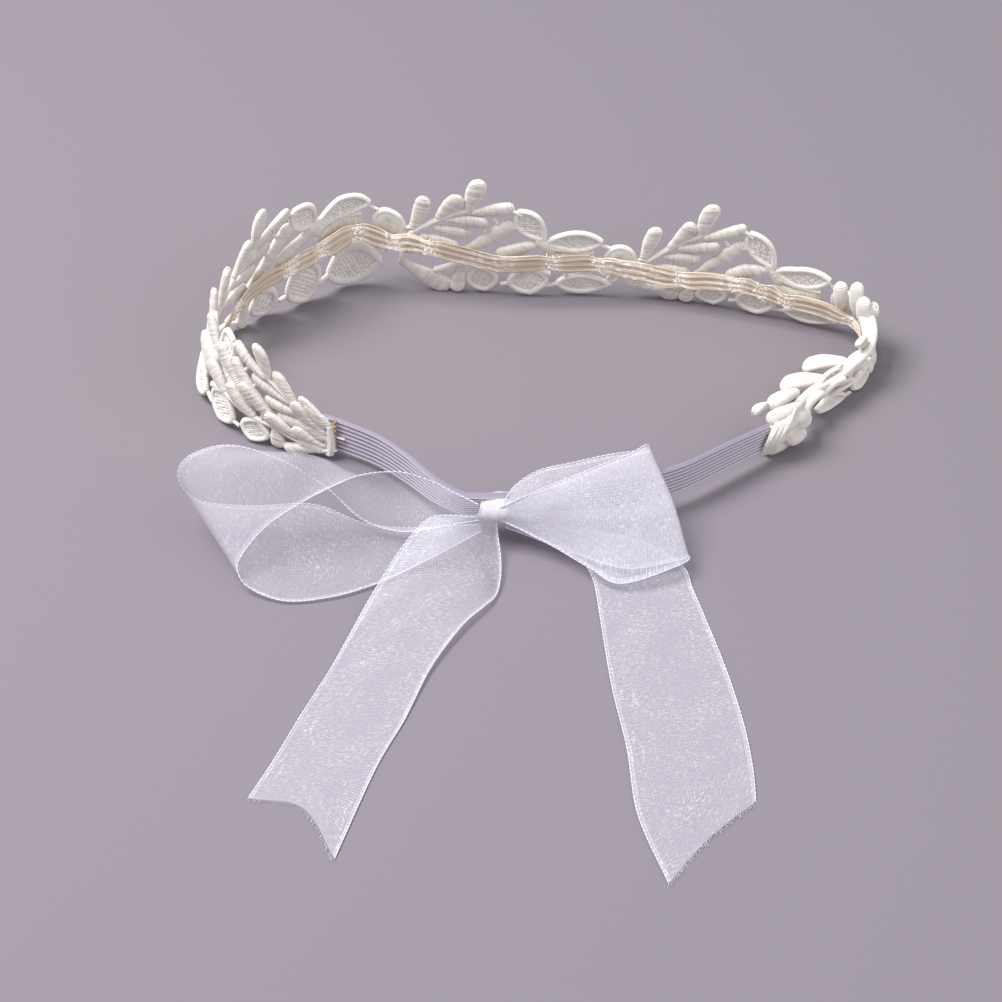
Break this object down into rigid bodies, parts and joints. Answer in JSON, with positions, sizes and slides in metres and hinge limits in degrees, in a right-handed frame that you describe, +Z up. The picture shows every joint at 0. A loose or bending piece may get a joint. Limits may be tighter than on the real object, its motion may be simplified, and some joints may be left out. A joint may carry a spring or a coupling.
{
  "type": "headband",
  "caption": "Hair crown of leafy guipure lace backed by a satin ribbon, closed with a ribbed elastic and an organza bow with loops and tails.",
  "frame": {"origin": "centre of the footprint's box, on the surface that the headband and its bow's tails lie on", "axes": "+X to the right seen from the bow, +Y from the bow to the middle of the lace, +Z up from the lace's lower edge to its leaf tips"},
  "size_m": [0.1671, 0.1961, 0.0349],
  "materials": {
    "lace": "matte",
    "satin": "satin",
    "gold_thread": "satin",
    "grey_thread": "matte",
    "elastic": "matte",
    "organza": "sheer"
  },
  "bodies": {
    "ring": {"lace_sprig_1": "lace", "lace_petals_1": "lace", "lace_lower_leaves_1": "lace", "lace_bud_1": "lace", "lace_sprig_2": "lace", "lace_petals_2": "lace", "lace_lower_leaves_2": "lace", "lace_bud_2": "lace", "lace_sprig_3": "lace", "lace_petals_3": "lace", "lace_lower_leaves_3": "lace", "lace_bud_3": "lace", "lace_sprig_4": "lace", "lace_petals_4": "lace", "lace_lower_leaves_4": "lace", "lace_bud_4": "lace", "lace_sprig_5": "lace", "lace_petals_5": "lace", "lace_lower_leaves_5": "lace", "lace_end_left": "lace", "lace_end_right": "lace", "satin_ribbon": "satin", "satin_stitch_1": "gold_thread", "satin_stitch_2": "gold_thread", "satin_stitch_3": "gold_thread", "satin_stitch_4": "gold_thread", "satin_stitch_5": "gold_thread", "elastic_band": "elastic", "join_thread_left": "gold_thread", "join_thread_right": "grey_thread"},
    "bow": {"bow_knot": "organza", "left_tail_fold": "organza", "right_tail_root": "organza"},
    "left_loop_body": {"left_loop": "organza"},
    "right_loop_body": {"right_loop": "organza"},
    "left_tail_body": {"left_tail": "organza"},
    "right_tail_body": {"right_tail": "organza"}
  },
  "joints": [
    {"name": "bow_slide", "type": "slide", "parent": "ring", "child": "bow", "axis": [1, 0, 0], "range_m": [-0.001, 0.003]},
    {"name": "left_loop_swing", "type": "hinge", "parent": "bow", "child": "left_loop_body", "pos_m": [-0.0156, 0.0033, 0.009], "axis": [0, 0, -1], "range_deg": [0, 8]},
    {"name": "right_loop_lift", "type": "hinge", "parent": "bow", "child": "right_loop_body", "pos_m": [-0.0084, 0.0029, 0.0125], "axis": [0, -1, 0], "range_deg": [0, 30]},
    {"name": "left_tail_lift", "type": "hinge", "parent": "bow", "child": "left_tail_body", "pos_m": [-0.027, -0.018, 0.0039], "axis": [-1, 0, 0], "range_deg": [0, 60]},
    {"name": "right_tail_lift", "type": "hinge", "parent": "bow", "child": "right_tail_body", "pos_m": [0.0227, -0.0146, 0.0009], "axis": [-0.9896, -0.1441, 0], "range_deg": [0, 60]}
  ]
}
